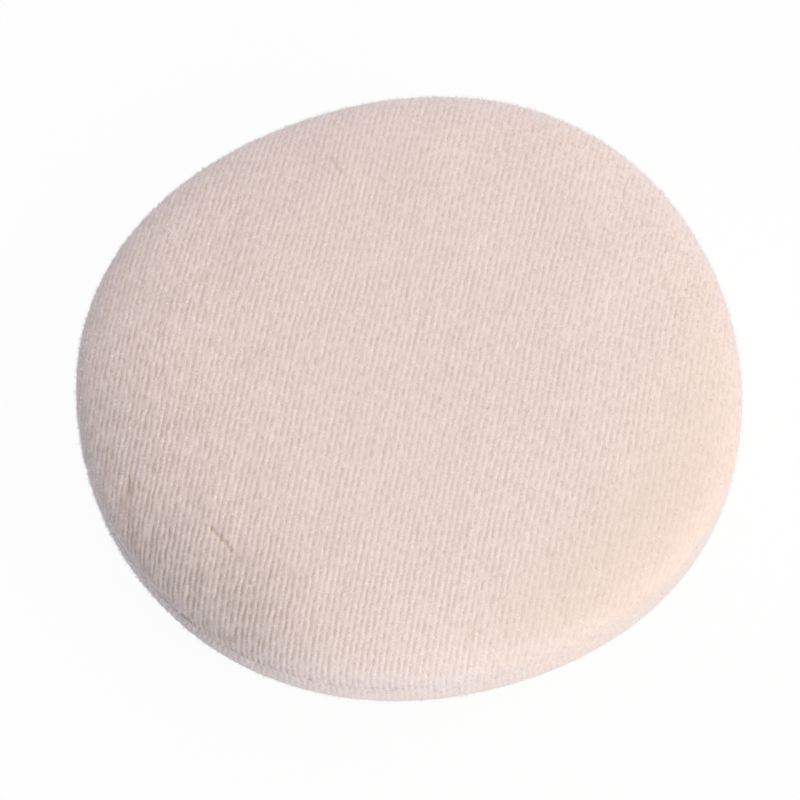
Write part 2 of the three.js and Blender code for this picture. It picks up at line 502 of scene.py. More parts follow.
# Velour
velourLook = {
    # The grooves are painted darker than the ridges: painted shade in the recesses between the ribs
    "groove": (0.715, 0.56, 0.488),
    "ridge": (0.91, 0.77, 0.71),
    "grooveSharpness": 7.0,
    "grooveTone": 0.54,
    "fibreTone": 0.55,
    "mottle": 0.05,
    "hue": 0.02,
    "speck": 0.1,
    # Painted shade where the pile lies crushed
    "crushTone": 0.2,
    "crushContrast": 0.5,  # the grooves' painted shade is deeper where the pile lies crushed
    "raggedTone": 0.45,
    "brushCover": 0.6,  # the light wash lifts the grooves' painted shade, and the ribs there are made shallower
    # A warm painted tint of the right window's light, a little darker, on the flank facing it
    "brushColor": (0.945, 0.92, 0.88),
    # Creases and dents are painted darker the deeper they are: painted shade
    "creaseColor": (0.78, 0.73, 0.65),
    "creaseDepth": 0.25 * mm,
    "seamWear": 0.3,  # painted shade above the seam, as a share of the crease's shade colour
    "seamWearReach": (0.6 * mm, 3.6 * mm),  # from the seam
    "seamWearEnd": (-5 * mm, 15 * mm),  # across the ribs
    "fuzzColor": (0.85, 0.775, 0.772),  # painted sheen: a greyer lilac towards the seam, where the cloth turns away, which also hides the ribs
    "fuzzReach": (1.5 * mm, 8 * mm),  # from the seam
    "fuzzShare": 0.5,
    "fuzzCombed": 0.55,  # less painted sheen where the light wash is below nought
    "fuzzBrushed": 0.25,
    "fuzzCrushed": 0.5,
    "fuzzNearEnd": 0.65,
    "coverNearEnd": 0.2,  # and there the painted sheen hides the ribs less
    "bumpStrength": 0.4,
    "bumpDepth": 0.05 * mm,
    "skin": {
        "Roughness": 0.92,
        "Specular IOR Level": 0.2,
        "Sheen Weight": 0.85,
        "Sheen Roughness": 0.32,
        "Sheen Tint": (0.86, 0.91, 1.0, 1),
    },
}
ribField = {
    "pitch": 0.728 * mm,
    "spread": 0.013,  # ribs lie wider apart towards +X by this share
    "fan": 0.065,  # and stand straighter towards -X
    "clothReach": 44.6 * mm,
    "nearEnd": (-38 * mm, -25 * mm),  # along the ribs
    "strandLength": 0.85 * mm,
    "strandSteps": (7.31, 3.77),  # from one rib's strands to the next one's
    "wander": 0.25 * mm,
    "jitter": 0.3 * mm,
    "raggedJitter": 0.22 * mm,  # added where the pile is ragged
    "raggedSide": (-0.95, -0.3),  # towards there
    "raggedReach": (5 * mm, 28 * mm),
}


# One value at the near end of the cloth, where the ribs show down to the seam, and another elsewhere
def atNearEnd(tree, run, there, elsewhere):
    return ease(tree, run, *ribField["nearEnd"], there, elsewhere)


# A broken run of strands, its own for each rib or groove
def strandNoise(tree, run, number, seed):
    onwards, sideways = ribField["strandSteps"]
    place = addNode(tree, "ShaderNodeCombineXYZ", {"X": calc(tree, "MULTIPLY_ADD", number, onwards, run),
                                                   "Y": calc(tree, "MULTIPLY", number, sideways)})
    return ease(tree, noise(tree, place.outputs[0], seed), 0.34, 0.64)


def offMiddle(tree, value, share):
    return calc(tree, "MULTIPLY", calc(tree, "SUBTRACT", value, 0.5), share)


# Where a place of the cloth lies among the ribs, the same for the mesh and for its colour
def addRibs(tree, cloth, seed):
    axes = split(tree, cloth)
    sway = patchNoise(tree, cloth, 7, 10, seed)
    twist = patchNoise(tree, cloth, 0.9, 1.6, seed)
    side = calc(tree, "DIVIDE", axes[0], ribField["clothReach"])
    towardsX, towardsY = ribField["raggedSide"]
    lead = calc(tree, "MULTIPLY_ADD", axes[1], towardsY, calc(tree, "MULTIPLY", axes[0], towardsX))
    ragged = ease(tree, lead, *ribField["raggedReach"])
    jitter = calc(tree, "MULTIPLY_ADD", ragged, ribField["raggedJitter"], ribField["jitter"])
    across = calc(tree, "ADD", offMiddle(tree, sway, ribField["wander"]), axes[0])
    across = calc(tree, "ADD", offMiddle(tree, twist, jitter), across)
    left = calc(tree, "POWER", calc(tree, "MULTIPLY_ADD", side, -0.5, 0.5), 3.0)
    across = calc(tree, "MULTIPLY_ADD", calc(tree, "MULTIPLY", left, axes[1]), ribField["fan"], across)
    across = calc(tree, "MULTIPLY", across, calc(tree, "MULTIPLY_ADD", side, -ribField["spread"], 1.0))
    place = calc(tree, "DIVIDE", across, ribField["pitch"])
    groove = calc(tree, "ROUND", place)
    off = calc(tree, "MULTIPLY", calc(tree, "SUBTRACT", place, groove), 2.0)
    bowl = calc(tree, "MAXIMUM", calc(tree, "SUBTRACT", 1.0, calc(tree, "MULTIPLY", off, off)), 0.0)
    run = calc(tree, "DIVIDE", axes[1], ribField["strandLength"])
    dash = strandNoise(tree, run, groove, seed)
    strand = strandNoise(tree, run, calc(tree, "ADD", calc(tree, "FLOOR", place), 0.5), seed)
    outside = ease(tree, axes[2], -0.1 * mm, 0.4 * mm)  # nought on the lining and the fold
    return axes, bowl, dash, strand, outside, ragged


def pileToneGroup():
    tree = bpy.data.node_groups.new("pileTone", "ShaderNodeTree")
    addInputs(tree, ("Cloth", "Crush", "Seed", "Groove Color", "Ridge Color", "Groove Sharpness",
                     "Groove Tone", "Fibre Tone", "Mottle", "Hue", "Speck", "Crush Tone", "Ragged Tone"),
              {"Cloth": "Vector", "Groove Color": "Color", "Ridge Color": "Color"})
    tree.interface.new_socket("Color", in_out="OUTPUT", socket_type="NodeSocketColor")
    tree.interface.new_socket("Height", in_out="OUTPUT", socket_type="NodeSocketFloat")
    given = tree.nodes.new("NodeGroupInput").outputs
    result = tree.nodes.new("NodeGroupOutput").inputs
    cloth = given["Cloth"]
    axes, bowl, dash, strand, outside, ragged = addRibs(tree, cloth, given["Seed"])
    line = calc(tree, "POWER", bowl, given["Groove Sharpness"])
    cut = product(tree, line, calc(tree, "MULTIPLY_ADD", dash, 0.85, 0.15), outside)
    fibre = patchNoise(tree, cloth, 0.15, 0.26, 3.0, 2.0)
    dots = patchNoise(tree, cloth, 0.34, 0.42, 23.0)
    patch = patchNoise(tree, cloth, 9, 12, 11.0, 2.0)
    tint = patchNoise(tree, cloth, 2.6, 3.4, 41.0, 1.0)
    rough = patchNoise(tree, cloth, 1.6, 2.2, 57.0, 1.0)
    tone = calc(tree, "ADD", offMiddle(tree, fibre, given["Fibre Tone"]),
                offMiddle(tree, patch, given["Mottle"]))
    speck = calc(tree, "MULTIPLY", given["Speck"], calc(tree, "ADD", ragged, 1.0))
    tone = calc(tree, "MULTIPLY_ADD", ease(tree, dots, 0.66, 0.76), speck, tone)
    # The low strands of a rib are painted a little darker: painted shade where they lie lower
    tone = calc(tree, "MULTIPLY_ADD", calc(tree, "SUBTRACT", strand, 1.0), 0.04, tone)
    tousled = calc(tree, "MULTIPLY", ragged, calc(tree, "MULTIPLY_ADD", given["Crush"], 0.6, 0.55))
    tone = calc(tree, "MULTIPLY_ADD", offMiddle(tree, rough, given["Ragged Tone"]), tousled, tone)
    # Painted shade in the grooves
    furrow = calc(tree, "MULTIPLY", cut, given["Groove Tone"])
    ribs = mixed(tree, furrow, given["Ridge Color"], given["Groove Color"])
    grain = scaled(tree, (0.93, 1.0, 1.07), tone)  # dark places are a little warmer
    hue = scaled(tree, (1.0, -0.6, 0.0), offMiddle(tree, tint, given["Hue"]))
    shade = added(tree, added(tree, grain, hue), (1.0, 1.0, 1.0))
    # Painted shade where the pile lies crushed
    dim = calc(tree, "SUBTRACT", 1.0, calc(tree, "MULTIPLY", given["Crush"], given["Crush Tone"]))
    feed(tree, spread(tree, ribs, scaled(tree, shade, dim)), result["Color"])
    feed(tree, fibre, result["Height"])
    return tree


pileTone = pileToneGroup()


def velourMaterial(name, seed, seamShadeShare):
    material, tree, skin = newMaterial(name)
    cloth = meshField(tree, "cloth", "Vector")
    crush, brush, mark = (meshField(tree, label) for label in ("crush", "brush", "mark"))
    axes = split(tree, cloth)
    # Painted sheen: a greyer lilac towards the seam, weaker at the near end, where the light wash is, below
    # nought and where crushed
    fuzz = product(tree, ease(tree, axes[2], *velourLook["fuzzReach"], velourLook["fuzzShare"], 0.0),
                   atNearEnd(tree, axes[1], velourLook["fuzzNearEnd"], 1.0),
                   ease(tree, brush, 0.0, 1.0, 1.0, velourLook["fuzzBrushed"]),
                   ease(tree, brush, -lightWashed["combed"], 0.0, velourLook["fuzzCombed"], 1.0),
                   ease(tree, crush, 0.0, 1.0, 1.0, velourLook["fuzzCrushed"]))
    cover = calc(tree, "MULTIPLY", fuzz, atNearEnd(tree, axes[1], velourLook["coverNearEnd"], 1.0))
    clear = calc(tree, "MULTIPLY", calc(tree, "SUBTRACT", 1.0, cover),
                 calc(tree, "MULTIPLY_ADD", brush, -velourLook["brushCover"], 1.0))
    deeper = calc(tree, "MULTIPLY_ADD", crush, velourLook["crushContrast"], 1.0)
    tone = addNode(tree, "ShaderNodeGroup", {
        "Cloth": cloth, "Crush": crush, "Seed": seed,
        "Groove Color": (*velourLook["groove"], 1), "Ridge Color": (*velourLook["ridge"], 1),
        "Groove Sharpness": velourLook["grooveSharpness"],
        "Groove Tone": product(tree, clear, deeper, velourLook["grooveTone"]),
        "Fibre Tone": calc(tree, "MULTIPLY", clear, velourLook["fibreTone"]),
        "Mottle": velourLook["mottle"], "Hue": velourLook["hue"], "Speck": velourLook["speck"],
        "Crush Tone": velourLook["crushTone"], "Ragged Tone": velourLook["raggedTone"]}, node_tree=pileTone)
    color = tone.outputs["Color"]
    sheenRatio = tuple(tip / ridge for tip, ridge in zip(velourLook["fuzzColor"], velourLook["ridge"]))
    color = mixed(tree, fuzz, color, spread(tree, color, sheenRatio))
    # Painted shade above the seam, in blotches, at the near end and fading across the ribs
    blot = patchNoise(tree, cloth, 1.5, 1.5, 71.0)
    seamShading = product(tree, ease(tree, axes[2], *velourLook["seamWearReach"], seamShadeShare, 0.0),
                   ease(tree, blot, 0.38, 0.62, 0.15, 1.0), atNearEnd(tree, axes[1], 1.0, 0.0),
                   ease(tree, axes[0], *velourLook["seamWearEnd"], 1.0, 0.0))
    # Painted shade in the creases, darker where they are deeper, together with the painted shade above the
    # seam
    folded = calc(tree, "MAXIMUM", calc(tree, "DIVIDE", mark, velourLook["creaseDepth"]), seamShading)
    color = mixed(tree, folded, color, velourLook["creaseColor"], "MULTIPLY")
    # The right window's painted warm light on the flank facing it
    color = mixed(tree, brush, color, velourLook["brushColor"], "MULTIPLY")
    feed(tree, color, skin.inputs["Base Color"])
    feed(tree, bumped(tree, velourLook, tone.outputs["Height"]), skin.inputs["Normal"])
    setSockets(skin, velourLook["skin"])
    return material


# Covers
coverBuild = {
    "ribColumns": 5,  # columns of the mesh to a rib
    "rows": 260,
    "rimSamples": 2001,
    "drapeSteps": 30,
    "liningSteps": 6,
    "liningHole": 2 * mm,  # inside this radius the lining is closed by a fan
    "frontLean": -11.5,  # degrees that the ribs lean from straight up, seen from above
    "backLean": -6.0,
    "stretch": 2.0,  # nought gathers the ribs at the edge, more stretches them over it
    "ribDepth": 0.09 * mm,
    "strandShare": 0.7,  # how much bridging strands break a groove up
    "strandFall": 0.3,  # how much lower the low strands of a rib lie
    "unevenness": 0.08 * mm,  # of the front
    "crushDepth": 0.5,  # how much deeper the ribs are where the pile is crushed
    "stitchCount": 104,
    "stitchDent": 0.18 * mm,
    "seamGather": 1.0,  # how much deeper the ribs are where the cloth is gathered into the seam
}
# Small creases of the front cover as places of the cloth in mm, across and along the ribs,
# with their width and depth
frontMarks = (
    (((-20.0, -25.9), (-18.2, -26.2)), 0.25, 0.07),
    (((-18.2, -26.2), (-17.6, -26.6), (-16.9, -27.1), (-16.1, -27.6), (-15.4, -28.3)), 0.20, 0.19),
    (((-15.3, -28.4), (-14.1, -29.2)), 0.30, 0.06),
    (((-29.5, -21.6), (-29.3, -23.1)), 0.50, 0.19),
    (((-29.6, -24.4), (-28.6, -27.0), (-27.7, -28.6)), 1.20, 0.10),
    (((-20.3, -37.9), (-19.3, -38.5)), 0.40, 0.25),
    (((-15.7, 26.3), (-14.1, 24.1)), 0.28, 0.13),
    (((13.6, -34.1), (14.0, -34.1)), 0.28, 0.10),
)
liningMark = -2 * mm  # what the lining has in place of a length from the seam


def markDepth(cloth, marks):
    total = np.zeros(cloth.shape[:-1])
    for places, width, depth in marks:
        nearest = np.full(total.shape, np.inf)
        for first, second in zip(places, places[1:]):
            start = np.array(first) * mm
            line = np.array(second) * mm - start
            share = np.clip(((cloth[..., :2] - start) @ line) / (line @ line), 0, 1)
            gap = cloth[..., :2] - start - share[..., None] * line
            nearest = np.minimum(nearest, np.hypot(gap[..., 0], gap[..., 1]))
        total += depth * mm * np.exp(-(nearest / (width * mm)) ** 2)
    return total


def ribTree():
    tree, given, result = pieceTree("velourRibs", (
        "Rib Depth", "Strand Share", "Strand Fall", "Unevenness", "Crush Depth", "Brush Cover",
        "Stitch Count", "Stitch Dent", "Seam Gather", "Seed"))
    cloth = readAttribute(tree, "cloth", "FLOAT_VECTOR")
    crush, brush, mark, around = (readAttribute(tree, name) for name in ("crush", "brush", "mark", "around"))
    axes, bowl, dash, strand, outside = addRibs(tree, cloth, given["Seed"])[:5]
    bridged = calc(tree, "MULTIPLY_ADD", dash, given["Strand Share"],
                   calc(tree, "SUBTRACT", 1.0, given["Strand Share"]))
    cut = calc(tree, "MULTIPLY", calc(tree, "POWER", bowl, 3.0), bridged)
    fallen = calc(tree, "MULTIPLY", calc(tree, "SUBTRACT", 1.0, strand), given["Strand Fall"])
    ridge = calc(tree, "MULTIPLY", calc(tree, "SUBTRACT", 1.0, cut), calc(tree, "SUBTRACT", 1.0, fallen))
    hidden = calc(tree, "MULTIPLY", brush, given["Brush Cover"])
    gathered = ease(tree, axes[2], 0.3 * mm, 1.8 * mm, given["Seam Gather"], 0.0)
    relief = product(tree, calc(tree, "SUBTRACT", ridge, 1.0), given["Rib Depth"],
                     calc(tree, "MULTIPLY_ADD", crush, given["Crush Depth"], 1.0),
                     calc(tree, "SUBTRACT", 1.0, hidden), calc(tree, "ADD", gathered, 1.0))
    lumps = patchNoise(tree, cloth, 11, 11, calc(tree, "ADD", given["Seed"], 5.0), 1.0)
    lump = offMiddle(tree, lumps, given["Unevenness"])
    turn = calc(tree, "MULTIPLY", around, calc(tree, "MULTIPLY", given["Stitch Count"], fullTurn))
    pulled = calc(tree, "POWER", calc(tree, "MULTIPLY_ADD", calc(tree, "COSINE", turn), 0.5, 0.5), 2.5)
    tightness = patchNoise(tree, cloth, 5, 5, calc(tree, "ADD", given["Seed"], 9.0))
    near = ease(tree, axes[2], 0.2 * mm, 1.3 * mm, 1.0, 0.0)
    dent = product(tree, pulled, ease(tree, tightness, 0.35, 0.65, 0.15, 1.0),
                   ease(tree, crush, 0.2, 0.8, 1.0, 0.25), ease(tree, brush, 0.1, 0.6, 1.0, 0.1),
                   near, calc(tree, "GREATER_THAN", axes[2], liningMark / 2), given["Stitch Dent"])
    lift = calc(tree, "SUBTRACT", calc(tree, "ADD", relief, lump), mark)
    lift = calc(tree, "SUBTRACT", calc(tree, "MULTIPLY", lift, outside), dent)
    endTree(tree, pushOut(tree, given["Geometry"], lift), given["Material"], result)
    return tree


velourRibs = ribTree()


# How far across the ribs the seam lies, by the cosine of the angle round it. The cloth is stretched
# over the edge, so the ribs go straight down there rather than being gathered towards the middle
def rimAcross(length, turn):
    return turn * (padForm["radius"] + (length - padForm["radius"]) * np.abs(turn) ** coverBuild["stretch"])


# The share of the way to the seam and the angle round the pad of places of the cloth
def drape(across, upwards, along, radius):
    reach = np.hypot(across, upwards)
    angle = np.arctan2(upwards, across)
    for count in range(coverBuild["drapeSteps"]):
        flat = np.interp(reach, along, radius)
        wide = flat + (reach - flat) * np.abs(np.cos(angle)) ** coverBuild["stretch"]
        wide, high = np.maximum(wide, 1e-9), np.maximum(reach, 1e-9)
        angle = np.arctan2(upwards / high, across / wide)
        reach = np.minimum(reach * np.hypot(upwards / high, across / wide), along[-1])
    return reach / along[-1], angle


# The outside of a cover in columns along its ribs, as places on the pad and places of the cloth,
# with the angle round the pad
def coverOutside(side, rise, press, lean, swell):
    along, radius, height = coverCurve(rise, press)
    length = along[-1]
    columnCount = 2 * int(round(length / ribField["pitch"] * coverBuild["ribColumns"]))
    inset = 0.5 / columnCount
    across = length * np.linspace(-1 + inset, 1 - inset, columnCount + 1)[:, None]
    rimTurn = np.linspace(-1, 1, coverBuild["rimSamples"])
    ribEnd = np.interp(across, rimAcross(length, rimTurn), rimTurn)
    upwards = length * np.linspace(-1, 1, coverBuild["rows"] + 1)[None, :] * np.sqrt(1 - ribEnd ** 2)
    across = across + 0 * upwards
    share, angle = drape(across, upwards, along, radius)
    cloth = np.stack((across, upwards, (1 - share) * length), axis=-1)
    angle = angle + math.radians(lean)
    reach = share * length
    outer = padPoints(np.interp(reach, along, radius), angle, np.interp(reach, along, height), side)
    lift = readTable(swell, share * pillowBuild["rings"], angle / fullTurn * pillowBuild["columns"])
    edgeStart, edgeEnd = pillowBuild["edgeFade"]
    lift *= np.clip((edgeEnd - share) / (edgeEnd - edgeStart), 0, 1)
    if press > 0:
        restStart, restEnd = pillowBuild["restFade"]
        lift *= np.clip((share - restStart) / (restEnd - restStart), 0, 1)
    outwards = np.interp(reach, along, -np.gradient(height, along))
    rising = np.interp(reach, along, np.gradient(radius, along))
    normal = np.stack((outwards * np.cos(angle), outwards * np.sin(angle), side * rising), axis=-1)
    return settle(outer + lift[..., None] * normal, side), cloth, angle, length


# A cover as one closed shell: the outside, then fold, allowance and lining in rings from its rim
def coverShell(name, side, rise, press, lean, swell, marks):
    outer, cloth, angle, length = coverOutside(side, rise, press, lean, swell)
    number = np.arange(angle.size).reshape(angle.shape)
    quads = np.stack((number[:-1, :-1], number[1:, :-1], number[1:, 1:], number[:-1, 1:]), axis=-1)
    faces = [quads.reshape(-1, 4)]
    outsideCount = len(faces[0])
    rim = np.concatenate((number[:, 0], number[-1, 1:], number[-2::-1, -1], number[0, -2:0:-1]))
    rimAngle = angle.reshape(-1)[rim]
    liningRadius, liningHeight = crownCurve(rise, press, padForm["clothThickness"], coverBuild["liningSteps"])
    allowanceEnd = foldRadius - padForm["seamAllowance"]
    rings = [(allowanceEnd, halfGap), (allowanceEnd, clothTop), (foldRadius, clothTop)]
    rings += [(r, h) for r, h in zip(liningRadius[::-1], liningHeight[::-1]) if r > coverBuild["liningHole"]]
    points = [outer.reshape(-1, 3)]
    cloths = [cloth.reshape(-1, 3)]
    angles = [angle.reshape(-1)]
    last, first = rim, number.size
    for ringRadius, ringHeight in rings:
        points.append(settle(padPoints(ringRadius, rimAngle, ringHeight, side), side))
        cloths.append(np.stack((ringRadius * np.cos(rimAngle), ringRadius * np.sin(rimAngle),
                                np.full(len(rim), liningMark)), axis=-1))
        angles.append(rimAngle)
        ring = first + np.arange(len(rim))
        faces.append(np.stack((last, ring, np.roll(ring, -1), np.roll(last, -1)), axis=-1))
        last = ring
        first += len(rim)
    points.append(np.array([[axisX, axisY, seamPlane + side * (rise - padForm["clothThickness"])]]))
    cloths.append(np.array([[0, 0, liningMark]]))
    angles.append(np.array([0.0]))
    quads = np.concatenate(faces)
    fan = np.stack((last, np.full(len(last), first), np.roll(last, -1)), axis=-1)
    if side < 0:
        quads, fan = quads[:, ::-1], fan[:, ::-1]
    points, cloths = np.concatenate(points), np.concatenate(cloths)
    inside = cloths[:, 2] < 0
    crush = crushShare(points) * (1 if side > 0 else crushed["backShare"])
    piece = newPiece(name, points, quads.tolist() + fan.tolist())
    keepAttribute(piece.data, "cloth", "FLOAT_VECTOR", cloths)
    keepAttribute(piece.data, "around", "FLOAT", np.concatenate(angles) / fullTurn)
    keepAttribute(piece.data, "crush", "FLOAT", np.where(inside, 0, crush))
    keepAttribute(piece.data, "brush", "FLOAT", np.where(inside, 0, lightWashShare(points, side)))
    keepAttribute(piece.data, "mark", "FLOAT", np.where(inside, 0, markDepth(cloths, marks)))
    return piece, outsideCount, length


# Places for the baked maps: the outside as one disc, and the inside as a small disc in the corner
bakeLayout = {
    "discReach": 0.49,
    "cornerMiddle": 0.0875,
    "cornerReach": 0.075,
    "fibreRoom": 0.0008,
}


def keepPlaces(mesh, places):
    mesh.uv_layers.new(name="OFBake").data.foreach_set("uv", places.astype(np.float32).ravel())


def coverBake(mesh, outsideCount, length):
    corner = readNumbers(mesh.loops, "vertex_index")
    cloth = readVectors(mesh.attributes["cloth"].data, "vector")
    places = 0.5 + bakeLayout["discReach"] * cloth[corner, :2] / length
    hidden = np.arange(len(corner)) >= 4 * outsideCount
    reach = np.hypot(cloth[:, 0], cloth[:, 1])
    onRim = cloth[:, 2] >= 0
    ringSize = int(np.count_nonzero(onRim[corner[hidden]]) / 2)
    ring = np.zeros(len(cloth))
    inside = np.flatnonzero(~onRim)
    ring[inside] = 1 + np.arange(len(inside)) // ringSize
    shrink = bakeLayout["cornerReach"] * (1 - ring / ring.max())
    small = cloth[:, :2] / np.maximum(reach, 1e-9)[:, None] * shrink[:, None]
    places[hidden] = bakeLayout["cornerMiddle"] + small[corner[hidden]]
    keepPlaces(mesh, places)


# The folded edge is kept sharp, so that the cloth is shaded as it lies up to the seam
def sharpenRim(mesh, outsideCount):
    edge = readNumbers(mesh.loops, "edge_index")
    sharp = np.zeros(len(mesh.edges), bool)
    sharp[np.intersect1d(edge[:4 * outsideCount], edge[4 * outsideCount:])] = True
    mesh.edges.foreach_set("use_edge_sharp", sharp)


def velourCover(name, node, slot, side, rise, press, lean, swell, marks, seed):
    piece, outsideCount, length = coverShell(name, side, rise, press, lean, swell, marks)
    front = side > 0
    runTree(piece, velourRibs, {
        **coverBuild, "stitchCount": float(coverBuild["stitchCount"]), "brushCover": velourLook["brushCover"],
        "unevenness": coverBuild["unevenness"] if front else 0.0, "seed": seed,
        "material": velourMaterial(slot, seed, velourLook["seamWear"] if front else 0.0)})
    coverBake(piece.data, outsideCount, length)
    sharpenRim(piece.data, outsideCount)
    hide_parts(node)
    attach(piece, "root")
    print(name, "made:", len(piece.data.polygons), "faces")
    return piece, length


frontCover, frontLength = velourCover("frontCover", "front_cover", "front_velour", 1, frontRise, 0,
                                      coverBuild["frontLean"], frontSwell, frontMarks, 2.0)
backCover, backLength = velourCover("backCover", "back_cover", "back_velour", -1, backRise,
                                    padForm["restPress"], coverBuild["backLean"], backSwell, (), 17.0)

# Nap
napBuild = {
    "crownDensity": 5e6,  # fibres to a square metre
    "flankDensity": 8e6,  # where the cloth bends round the edge its pile opens
    "flankReach": 12 * mm,  # from the seam
    "nearEndShare": 0.35,  # of those fibres at the near end
    "brushedShare": 0.2,
    "crushedShare": 0.35,
    "fibreLength": 0.42 * mm,
    "fibreWidth": 0.065 * mm,
    "fibreLean": 0.7,  # radians either way
    "leastSize": 0.55,
    "mostSize": 1.25,
    "clearHeight": 0.55 * mm,  # none where the pile is pressed on the table
    "crownColors": ((0.84, 0.71, 0.65), (0.92, 0.80, 0.75)),
    # Painted sheen: the nap is a greyer lilac towards the seam
    "edgeColors": ((0.85, 0.78, 0.765), (0.89, 0.83, 0.825)),
    "edgeReach": (3.2 * mm, 8 * mm),  # from the seam
    "roughness": 0.9,
}


def napTree():
    tree, given, result = pieceTree("velourNap", (
        "Crown Density", "Flank Density", "Flank Reach", "Near End Share", "Brushed Share", "Crushed Share",
        "Fibre Length", "Fibre Width", "Fibre Lean", "Least Size", "Most Size", "Clear Height", "Seed"),
        Seed="Int")
    axes = split(tree, readAttribute(tree, "cloth", "FLOAT_VECTOR"))
    density = product(
        tree, ease(tree, axes[2], calc(tree, "MULTIPLY", given["Flank Reach"], 0.5), given["Flank Reach"],
                   given["Flank Density"], given["Crown Density"]),
        atNearEnd(tree, axes[1], given["Near End Share"], 1.0),
        ease(tree, readAttribute(tree, "brush"), 0.1, 0.6, 1.0, given["Brushed Share"]),
        ease(tree, readAttribute(tree, "crush"), 0.1, 0.9, 1.0, given["Crushed Share"]))
    place = addNode(tree, "GeometryNodeInputPosition").outputs[0]
    outside = calc(tree, "GREATER_THAN", axes[2], 0.1 * mm)
    clear = calc(tree, "GREATER_THAN", split(tree, place)[2], given["Clear Height"])
    roots = addNode(tree, "GeometryNodeDistributePointsOnFaces", {
        "Mesh": given["Geometry"], "Selection": calc(tree, "MULTIPLY", outside, clear), "Density": density,
        "Seed": given["Seed"]}, distribute_method="RANDOM")
    fibre = addNode(tree, "GeometryNodeMeshCone", {
        "Vertices": 3, "Side Segments": 1, "Fill Segments": 1, "Radius Top": 0.0,
        "Radius Bottom": calc(tree, "MULTIPLY", given["Fibre Width"], 0.5), "Depth": given["Fibre Length"]})
    lean = given["Fibre Lean"]
    back = calc(tree, "MULTIPLY", lean, -1.0)
    least = addNode(tree, "ShaderNodeCombineXYZ", {"X": back, "Y": back, "Z": -math.pi})
    most = addNode(tree, "ShaderNodeCombineXYZ", {"X": lean, "Y": lean, "Z": math.pi})
    tilt = addNode(tree, "FunctionNodeRandomValue", {
        0: least.outputs[0], 1: most.outputs[0], "Seed": given["Seed"]}, data_type="FLOAT_VECTOR")
    turned = addNode(tree, "FunctionNodeRotateRotation", {
        "Rotation": roots.outputs["Rotation"], "Rotate By": tilt.outputs[0]}, rotation_space="LOCAL")
    size = addNode(tree, "FunctionNodeRandomValue", {
        2: given["Least Size"], 3: given["Most Size"], "Seed": given["Seed"]}, data_type="FLOAT")
    placed = addNode(tree, "GeometryNodeInstanceOnPoints", {
        "Points": roots.outputs["Points"], "Instance": fibre.outputs["Mesh"], "Rotation": turned.outputs[0],
        "Scale": size.outputs[1]})
    endTree(tree, placed.outputs[0], given["Material"], result)
    return tree


velourNap = napTree()


def napMaterial(name):
    material, tree, skin = newMaterial(name)
    cloth = meshField(tree, "cloth", "Vector")
    edge = ease(tree, split(tree, cloth)[2], *napBuild["edgeReach"], 1.0, 0.0)
    shade = patchNoise(tree, cloth, 0.4, 0.4, 31.0)
    color = mixed(tree, edge, mixed(tree, shade, *napBuild["crownColors"]),
                  mixed(tree, shade, *napBuild["edgeColors"]))
    # Painted shade where the pile lies crushed
    dim = calc(tree, "MULTIPLY_ADD", meshField(tree, "crush"), -velourLook["crushTone"], 1.0)
    feed(tree, scaled(tree, color, dim), skin.inputs["Base Color"])
    setSockets(skin, {**velourLook["skin"], "Roughness": napBuild["roughness"]})
    return material


def napBake(mesh, length):
    corner = readNumbers(mesh.loops, "vertex_index")
    cloth = readVectors(mesh.attributes["cloth"].data, "vector")
    root = 0.5 + bakeLayout["discReach"] * cloth[corner, :2] / length
    keepPlaces(mesh, root + np.array(((0, 0), (1, 0), (0, 1), (1, 1)))[corner % 4] * bakeLayout["fibreRoom"])


def coverNap(name, cover, length, seed):
    piece = addObject(name, cover.data.copy())
    runTree(piece, velourNap, {**napBuild, "seed": seed, "material": napMaterial(name)})
    for layer in list(piece.data.uv_layers):
        piece.data.uv_layers.remove(layer)
    napBake(piece.data, length)
    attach(piece, "root")
    print(name, "made:", len(piece.data.polygons), "faces")


coverNap("frontNap", frontCover, frontLength, 4)
coverNap("backNap", backCover, backLength, 9)

# Foam core
foamBuild = {
    "columns": 280,
    "crownSteps": 64,
    "slotSteps": 10,
    "cellSize": 1.3 * mm,
    "cellDepth": 0.3 * mm,
    "fineCells": 3.1,  # how many times finer the small cells are
    # The cells' sunk middles are painted darker than their walls: painted shade in the hollows
    "cellColor": (0.80, 0.70, 0.55),
    "wallColor": (0.93, 0.86, 0.74),
    "bumpStrength": 0.6,
    "bumpDepth": 0.15 * mm,
    "skin": {"Roughness": 0.95, "Specular IOR Level": 0.2},
}


def foamSection():
    inset = padForm["clothThickness"] + padForm["foamClearance"]
    slotRise = clothTop + padForm["threadRoom"]
    slotRim = foldRadius - padForm["foamClearance"]
    slotReach = np.linspace(slotRim, slotRim - padForm["seamAllowance"], foamBuild["slotSteps"])
    section = []
    for side, rise, press in ((1, frontRise, 0), (-1, backRise, padForm["restPress"])):
        radius, height = crownCurve(rise, press, inset, foamBuild["crownSteps"])
        half = [(r, side * h) for r, h in zip(radius[1:], height[1:])]
        half += [(r, side * slotRise) for r in slotReach]
        section += half if side > 0 else half[::-1]
    return section, (frontRise - inset, -(backRise - inset))


def foamTree():
    tree, given, result = pieceTree("spongeCells", ("Cell Size", "Cell Depth"))
    place = addNode(tree, "GeometryNodeInputPosition").outputs[0]
    fromMiddle = cells(tree, place, calc(tree, "DIVIDE", 1.0, given["Cell Size"]))
    hollow = ease(tree, fromMiddle, 0.15, 0.55, 1.0, 0.0)
    sunk = product(tree, hollow, given["Cell Depth"], -1.0)
    endTree(tree, pushOut(tree, given["Geometry"], sunk), given["Material"], result)
    return tree


